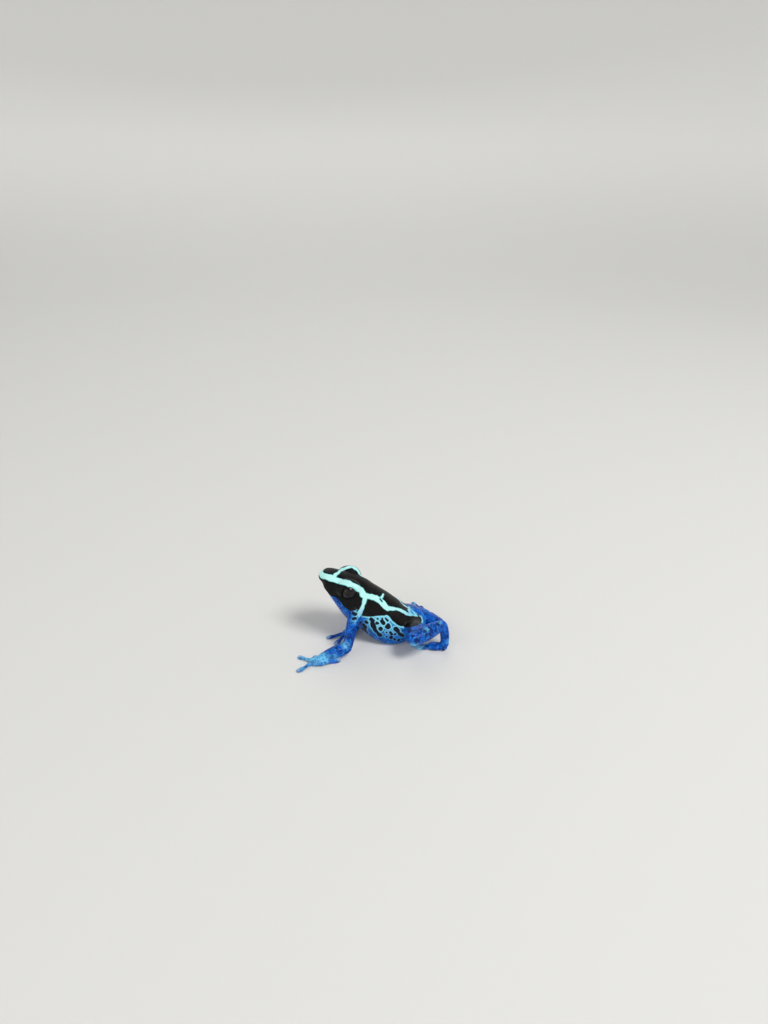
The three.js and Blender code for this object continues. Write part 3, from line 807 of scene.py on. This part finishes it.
@dataclass
class FrogSkin:
    """The whole skin as one piece, fused from the flesh solids across their seams.

    Lengths are in mm, and a span holds the two ends of a smooth step. The features are the eye, the
    nostril and the eardrum, each with the radius that keeps its shape. The mouth is a line of x and z.
    """

    place: FrogFrame
    marks: Markings
    seam: float = 0.45
    merge: float = 1e-3
    cell: float = 0.216
    reach: float = 0.42
    seam_blur: Span = (1.6, 0.5)
    broad_height: Span = (1.6, 3.2)
    broad_trunk: Span = (0.9, 0.3)
    least_weight: float = 0.01
    shrink: float = 0.5
    swell: float = -0.52
    rounds: int = 6
    seam_passes: int = 8
    broad_passes: int = 45
    features: tuple[tuple[tuple[float, float, float], float], ...] = (
        ((9.3, 4.8, 20.0), 3.0), ((1.2, 2.85, 23.1), 0.5), ((11.7, 6.15, 15.8), 1.2),
    )
    mouth: Outline = ((-0.8, 22.4), (9.6, 13.0))
    feature_blend: float = 1.1
    mouth_clear: Span = (0.3, 1.0)
    mouth_share: float = 0.3
    mouth_depth: float = 0.27
    mouth_half: float = 0.17
    mouth_end: float = 0.4
    lip_lift: float = 0.1
    lip_aside: float = 0.5
    lip_half: float = 0.24
    lid_pull: float = 0.42
    lid_gap: Span = (0.75, 0.25)
    lid_sunk: float = -0.3
    least_reach: float = 0.1
    floor_facing: Span = (0.1, 0.7)

    def flesh(self) -> dict[str, bpy.types.Object]:
        """Copies the flesh nodes and merges their doubled corners.

        Returns:
            The copies, by node name.
        """
        copies = {}
        for name, node in sorted(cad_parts.items()):
            if name in EYE_NODES:
                continue
            copy = node.copy()
            copy.data = node.data.copy()
            copy.parent = None
            for key in list(copy.keys()):
                del copy[key]
            bpy.context.scene.collection.objects.link(copy)
            pick(copy)
            bpy.ops.object.mode_set(mode="EDIT")
            bpy.ops.mesh.select_all(action="SELECT")
            bpy.ops.mesh.remove_doubles(threshold=self.merge * MM)
            bpy.ops.object.mode_set(mode="OBJECT")
            copies[name] = copy
        return copies

    def bridge(
        self, copies: dict[str, bpy.types.Object], trees: dict[str, BVHTree]
    ) -> list[Vector]:
        """Draws each face that looks across a seam out into its neighbour.

        Args:
            copies: The merged flesh solids.
            trees: Their surfaces as they were packed.

        Returns:
            The middles of the faces at the seams, in metres.
        """
        seams = []
        for name, copy in copies.items():
            others = [tree for other, tree in trees.items() if other != name]
            facing = []
            for face in copy.data.polygons:
                start = face.center + face.normal * NUDGE
                hits = (tree.ray_cast(start, face.normal, self.seam * MM)[0] for tree in others)
                facing.append(any(hits))
                if facing[-1]:
                    seams.append(face.center.copy())
            pick(copy)
            bpy.ops.object.mode_set(mode="EDIT")
            bpy.ops.mesh.select_mode(type="FACE")
            bpy.ops.mesh.select_all(action="DESELECT")
            bpy.ops.object.mode_set(mode="OBJECT")
            copy.data.polygons.foreach_set("select", facing)
            bpy.ops.object.mode_set(mode="EDIT")
            bpy.ops.mesh.extrude_region_shrink_fatten(
                TRANSFORM_OT_shrink_fatten={"value": self.reach * MM}
            )
            bpy.ops.object.mode_set(mode="OBJECT")
        return seams

    def build(self) -> bpy.types.Object:
        """Fuses, smooths and details the skin, and stores its marks on it.

        Returns:
            The skin.
        """
        copies = self.flesh()
        trees = {name: surface(copy) for name, copy in copies.items()}
        seams = self.bridge(copies, trees)
        deselect()
        for copy in copies.values():
            copy.select_set(True)
        skin = copies["torso"]
        bpy.context.view_layer.objects.active = skin
        bpy.ops.object.join()
        skin.name = "frog_skin"
        skin.data.name = "frog_skin"
        skin.data.materials.clear()
        apply_modifier(skin, "REMESH", mode="VOXEL", voxel_size=self.cell * MM, adaptivity=0.0)
        self.relax(skin, seams, [trees[name] for name in TRUNK_NODES])
        self.carve_mouth(skin)
        self.seat_lids(skin)
        self.store_marks(skin, trees)
        pick(skin)
        bpy.ops.object.shade_smooth()
        skin.data.materials.append(MoistSkin().material())
        return skin

    def relax(self, skin: bpy.types.Object, seams: list[Vector], trunk: list[BVHTree]) -> None:
        """Smooths facets and seams away, and leaves the face's features and the digits crisp.

        Args:
            skin: The fused skin.
            seams: The middles of the faces at the seams, in metres.
            trunk: The head's and the torso's own surfaces.
        """
        near = KDTree(len(seams))
        for index, centre in enumerate(seams):
            near.insert(centre, index)
        near.balance()
        places = positions(skin)
        gaps = np.array([near.find(Vector(p))[2] for p in places]) / MM
        points = self.place.measure(places)
        off_trunk = np.array([min(tree.find_nearest(Vector(p))[3] for tree in trunk) for p in places])
        high = smooth_step(points[:, 2], *self.broad_height)
        broad = np.maximum(high, smooth_step(off_trunk / MM, *self.broad_trunk))
        broad *= self.face_share(points)
        for name, weights in (("seam", smooth_step(gaps, *self.seam_blur)), ("broad", broad)):
            group = skin.vertex_groups.new(name=name)
            for index, weight in enumerate(weights):
                if weight > self.least_weight:
                    group.add([index], float(weight), "REPLACE")
        for _ in range(self.rounds):
            apply_modifier(skin, "SMOOTH", factor=self.shrink, iterations=2)
            apply_modifier(skin, "SMOOTH", factor=self.swell, iterations=2)
        for name, passes in (("seam", self.seam_passes), ("broad", self.broad_passes)):
            apply_modifier(skin, "SMOOTH", factor=self.shrink, iterations=passes, vertex_group=name)
        skin.vertex_groups.clear()

    def face_share(self, points: np.ndarray) -> np.ndarray:
        """How clear each point is of the eyes, the mouth, the nostrils and the eardrums.

        Args:
            points: Rows of x, y and z in mm.

        Returns:
            A share from 0 to 1 for each point.
        """
        aside = np.abs(points[:, 1])
        share = np.ones(len(points))
        for (x, y, z), clear in self.features:
            away = np.stack([points[:, 0] - x, aside - y, points[:, 2] - z], axis=1)
            gap = np.linalg.norm(away, axis=1)
            share = np.minimum(share, smooth_step(gap, clear, clear + self.feature_blend))
        beside, past = self.mouth_lines(points)
        off_mouth = smooth_step(np.hypot(beside, past), *self.mouth_clear)
        return np.minimum(share, self.mouth_share + (1 - self.mouth_share) * off_mouth)

    def mouth_lines(self, points: np.ndarray) -> tuple[np.ndarray, np.ndarray]:
        """Measures points against the line of the mouth.

        Args:
            points: Rows of x, y and z in mm.

        Returns:
            How far each point lies beside the line, and how far past its corner, in mm.
        """
        (x0, z0), (x1, z1) = self.mouth
        length = math.hypot(x1 - x0, z1 - z0)
        along = ((points[:, 0] - x0) * (x1 - x0) + (points[:, 2] - z0) * (z1 - z0)) / length
        beside = ((points[:, 0] - x0) * (z1 - z0) - (points[:, 2] - z0) * (x1 - x0)) / length
        return beside, np.maximum(along - length, 0.0)

    def carve_mouth(self, skin: bpy.types.Object) -> None:
        """Sinks the line of the mouth and lifts the lips beside it, where the remesh softened them.

        Args:
            skin: The fused skin.
        """
        places = positions(skin)
        beside, past = self.mouth_lines(self.place.measure(places))
        ends = smooth_step(past, 0.0, self.mouth_end)
        sink = self.mouth_depth * np.exp(-((beside / self.mouth_half) ** 2))
        lift = self.lip_lift * np.exp(-(((np.abs(beside) - self.lip_aside) / self.lip_half) ** 2))
        move_to(skin, places + normals(skin) * ((lift - sink) * (1.0 - ends) * MM)[:, None])

    def seat_lids(self, skin: bpy.types.Object) -> None:
        """Draws the edges of the lids in towards the eyeballs.

        Args:
            skin: The fused skin.
        """
        places = positions(skin)
        for node in EYE_NODES:
            low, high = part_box(node)
            out = places - np.array((low + high) / 2)
            reach = np.linalg.norm(out, axis=1) / MM
            gap = reach - EYEBALL_RADIUS
            pull = self.lid_pull * smooth_step(gap, *self.lid_gap) * (gap > self.lid_sunk)
            places -= out * (pull / np.maximum(reach, self.least_reach))[:, None]
        move_to(skin, places)

    def store_marks(self, skin: bpy.types.Object, trees: dict[str, BVHTree]) -> None:
        """Writes the pattern's depths, and the shares of painted highlight and sheen, onto the skin as
        attributes for the material.

        Args:
            skin: The fused skin.
            trees: The surfaces of the flesh solids, by node name.
        """
        places = positions(skin)
        facing = normals(skin)
        points = self.place.measure(places)
        gaps = {
            name: np.array([tree.find_nearest(Vector(p))[3] for p in places]) / MM
            for name, tree in trees.items()
        }
        trunk = np.min([gaps[name] for name in TRUNK_NODES], axis=0)
        limbs = [gap for name, gap in gaps.items() if name not in TRUNK_NODES]
        limb = trunk - np.min(limbs, axis=0)
        grown = self.marks.wander(points)
        down = smooth_step(-facing[:, 2], *self.floor_facing) * (limb < 0.0)
        black = self.marks.black_depth(grown)
        stored = {
            Mark.PALE: self.marks.pale_depth(grown),
            Mark.COOL: self.marks.cool_share(points),
            Mark.BLACK: black,
            Mark.PAINTED_SHEEN: self.marks.painted_sheen_share(points),
            Mark.SPOT: self.marks.spot_depth(grown, down),
            Mark.BLOTCH: self.marks.blotch_depth(grown),
            Mark.LIMB: limb,
            Mark.NET: self.marks.net_share(points, limb, black),
            Mark.TIP: self.marks.tip_share(points),
            Mark.PAINTED_HIGHLIGHT: self.marks.painted_highlight_share(points),
        }
        for mark, values in stored.items():
            write_attribute(skin, mark.value, values)


@dataclass(frozen=True)
class WetEye:
    """A dart frog's eye: an almost black iris with bronze flecks under a clear wet cornea.

    The iris is nearly as dark as the pupil, so the eye reads as one black bead with a sharp glint.
    """

    iris: str = "#0D0A09"
    fleck: str = "#33241A"
    pupil: str = "#010102"
    ior: float = 1.376

    def material(self) -> bpy.types.Material:
        """Builds the eye's material, dark in the middle with faint flecks round it.

        Returns:
            The material.
        """
        eye, tree = new_material("wet_dark_eye")
        coords = add_node(tree, "ShaderNodeTexCoord").outputs["Object"]
        # The bronze flecks are about 0.18 mm long.
        flecks = add_node(
            tree, "ShaderNodeTexNoise", None, {"Vector": coords, "Scale": 1 / (0.18 * MM), "Detail": 3.0}
        ).outputs["Fac"]
        ring = add_node(tree, "ShaderNodeAttribute", {"attribute_name": "iris"}).outputs["Fac"]
        in_fleck = threshold(tree, flecks, 0.5, 0.75)
        colour = mix_colours(tree, in_fleck, linear(self.iris), linear(self.fleck))
        colour = mix_colours(tree, threshold(tree, ring, 0.0, 0.12), linear(self.pupil), colour)
        add_surface(
            tree,
            {
                "Base Color": colour,
                "Roughness": 0.4,
                "IOR": self.ior,
                "Specular IOR Level": 0.1,
                "Coat Weight": 0.85,
                "Coat Roughness": 0.09,
                "Coat IOR": self.ior,
            },
        )
        return eye


@dataclass
class FrogEye:
    """One eyeball with its iris, its level pupil and the bulge of its cornea.

    The cornea swells from its outer radius to its full height at the crown's, in mm.
    """

    node: str
    side: Side
    cornea: float = 1.5
    crown: float = 0.4
    bulge: float = 0.06
    upward: float = 0.12
    pupil: tuple[float, float] = (0.85, 0.55)

    def build(self) -> bpy.types.Object:
        """Builds the eyeball where its solid is, looking out to its side.

        Returns:
            The eyeball.
        """
        low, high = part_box(self.node)
        centre = (low + high) / 2
        deselect()
        bpy.ops.mesh.primitive_uv_sphere_add(
            segments=64, ring_count=40, radius=EYEBALL_RADIUS * MM, location=centre
        )
        ball = bpy.context.object
        ball.name = f"{self.node}ball"
        ball.data.name = ball.name
        bpy.ops.transform.rotate(value=math.radians(90), orient_axis="X", center_override=centre)
        bpy.ops.object.transform_apply(location=True, rotation=True, scale=True)
        outward = np.array(Vector((0.0, self.side.value, self.upward)).normalized())
        points = (positions(ball) - np.array(centre)) / MM
        along = points @ outward
        across = np.linalg.norm(points - along[:, None] * outward, axis=1)
        swell = self.bulge * smooth_step(across, self.cornea, self.crown) * (along > 0)
        points *= (1 + swell / EYEBALL_RADIUS)[:, None]
        move_to(ball, points * MM + np.array(centre))
        wide, high_half = self.pupil
        oval = np.hypot(points[:, 0] / wide, points[:, 2] / high_half)
        write_attribute(ball, "iris", np.where(along > 0, oval - 1.0, 1.0) * high_half)
        pick(ball)
        bpy.ops.object.shade_smooth()
        ball.data.materials.append(WetEye().material())
        return ball


@dataclass
class PhotoView:
    """The camera: where the frog is seen from, and how the picture is cropped."""

    place: FrogFrame
    aim: tuple[float, float, float] = (16.0, -4.0, 9.0)
    aim_pixel: tuple[float, float] = (370.0, 618.0)
    elevation: float = 35.0
    distance: float = 252.0
    focal_px: float = 769.0

    def build(self) -> bpy.types.Object:
        """Creates the camera and makes it the scene's own.

        Returns:
            The camera.
        """
        lift = math.radians(self.elevation)
        right = Vector((1.0, 0.0, 0.0))
        up = Vector((0.0, math.sin(lift), math.cos(lift)))
        back = Vector((0.0, -math.cos(lift), math.sin(lift)))
        ray = Vector(
            (
                (self.aim_pixel[0] - IMAGE_WIDTH / 2) / self.focal_px,
                -(self.aim_pixel[1] - IMAGE_HEIGHT / 2) / self.focal_px,
                -1.0,
            )
        ).normalized()
        turn = ray.rotation_difference(Vector((0.0, 0.0, -1.0))).to_matrix()
        axes = Matrix((right, up, back)).transposed() @ turn
        lens = bpy.data.cameras.new("photo_view")
        lens.sensor_fit = "HORIZONTAL"
        lens.sensor_width = 36.0
        lens.lens = self.focal_px * lens.sensor_width / IMAGE_WIDTH
        lens.clip_start = 0.005
        lens.clip_end = 20.0
        camera = bpy.data.objects.new("photo_view", lens)
        camera.matrix_world = axes.to_4x4()
        camera.location = self.place.place(self.aim) + back * self.distance * MM
        bpy.context.scene.collection.objects.link(camera)
        bpy.context.scene.camera = camera
        return camera


@dataclass
class Studio:
    """A round pale bowl of matt paper with soft lamps inside it, so no horizon shows."""

    flat_radius: float = 0.6
    curve_radius: float = 1.2
    wall_height: float = 1.3
    curve_steps: int = 16
    paper_colour: str = "#E0DFDB"
    # How strongly the rising paper glows, as painted light.
    paper_glow: float = 0.27
    world_light: float = 0.25
    world_colour: tuple[float, float, float, float] = (0.9, 0.93, 1.0, 1.0)
    lamps: tuple[tuple[str, tuple[float, float, float], float, float], ...] = (
        ("key_light", (0.5, -0.37, 0.87), 0.36, 7.0),
        ("fill_light", (-0.8, -0.56, 0.5), 0.8, 2.2),
        ("back_light", (-0.1, 0.8, 0.72), 0.64, 1.6),
    )

    def bowl(self) -> bpy.types.Object:
        """Models the floor, drawn up round its rim into a curved wall.

        Returns:
            The floor.
        """
        deselect()
        bpy.ops.mesh.primitive_circle_add(vertices=96, radius=self.flat_radius, fill_type="NGON")
        floor = bpy.context.object
        floor.name = "floor"
        bpy.ops.object.mode_set(mode="EDIT")
        bpy.ops.mesh.select_mode(type="EDGE")
        bpy.ops.mesh.select_all(action="SELECT")
        rim, height = self.flat_radius, 0.0
        turns = [math.pi / 2 * (step + 1) / self.curve_steps for step in range(self.curve_steps)]
        curve = self.curve_radius
        rings = [(rim + curve * math.sin(turn), curve * (1 - math.cos(turn))) for turn in turns]
        for radius, level in [*rings, (rings[-1][0], self.wall_height)]:
            rise = (0.0, 0.0, level - height)
            bpy.ops.mesh.extrude_edges_move(TRANSFORM_OT_translate={"value": rise})
            grow = radius / rim
            bpy.ops.transform.resize(value=(grow, grow, 1.0), center_override=(0.0, 0.0, 0.0))
            rim, height = radius, level
        bpy.ops.object.mode_set(mode="OBJECT")
        bpy.ops.object.shade_smooth()
        return floor

    def paper(self) -> bpy.types.Material:
        """Makes matt paper, whose fine tooth keeps any glare off it, with a painted glow where it rises,
        in place of light from behind.

        Returns:
            The material.
        """
        paper, tree = new_material("matt_paper")
        coords = add_node(tree, "ShaderNodeTexCoord").outputs["Object"]
        height = add_node(tree, "ShaderNodeSeparateXYZ", None, {"Vector": coords}).outputs["Z"]
        # Painted light: the paper glows more as it rises, though no lamp stands behind it.
        glow = product(tree, threshold(tree, height, -0.04, 0.14), self.paper_glow)
        grain = add_node(tree, "ShaderNodeTexNoise", None, {"Scale": 900.0, "Detail": 2.0}).outputs["Fac"]
        tooth = {"Strength": 0.05, "Distance": 0.1 * MM, "Height": grain}
        bump = add_node(tree, "ShaderNodeBump", None, tooth)
        add_surface(
            tree,
            {
                "Base Color": linear(self.paper_colour),
                "Roughness": 0.8,
                "Normal": bump.outputs["Normal"],
                "Emission Color": linear(self.paper_colour),
                "Emission Strength": glow,
            },
        )
        return paper

    def build(self) -> None:
        """Lays the bowl, hangs the lamps and sets the pale surroundings and plain colours."""
        floor = self.bowl()
        floor.data.materials.append(self.paper())
        for name, where, size, power in self.lamps:
            lamp = bpy.data.lights.new(name, "AREA")
            lamp.size = size
            lamp.energy = power
            holder = bpy.data.objects.new(name, lamp)
            holder.location = where
            holder.rotation_euler = (-Vector(where)).to_track_quat("-Z", "Y").to_euler()
            bpy.context.scene.collection.objects.link(holder)
        world = bpy.data.worlds.new("studio")
        world.use_nodes = True
        background = world.node_tree.nodes["Background"]
        background.inputs["Color"].default_value = self.world_colour
        background.inputs["Strength"].default_value = self.world_light
        bpy.context.scene.world = world
        bpy.context.scene.view_settings.view_transform = "Standard"


def main() -> None:
    """Builds the studio, the view, the skin and the eyes, hangs them on the body and hides the nodes they
    replace.
    """
    logging.basicConfig(level=logging.INFO, format="%(name)s: %(message)s")
    place = FrogFrame.from_eye()
    Studio().build()
    PhotoView(place).build()
    skin = FrogSkin(place, Markings()).build()
    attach(skin, BODY)
    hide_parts(*[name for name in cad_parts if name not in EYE_NODES])
    LOG.info("%s has %d faces", skin.name, len(skin.data.polygons))
    for node, side in zip(EYE_NODES, Side):
        ball = FrogEye(node, side).build()
        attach(ball, BODY)
        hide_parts(node)
        LOG.info("%s has %d faces", ball.name, len(ball.data.polygons))


if __name__ == "__main__":
    main()
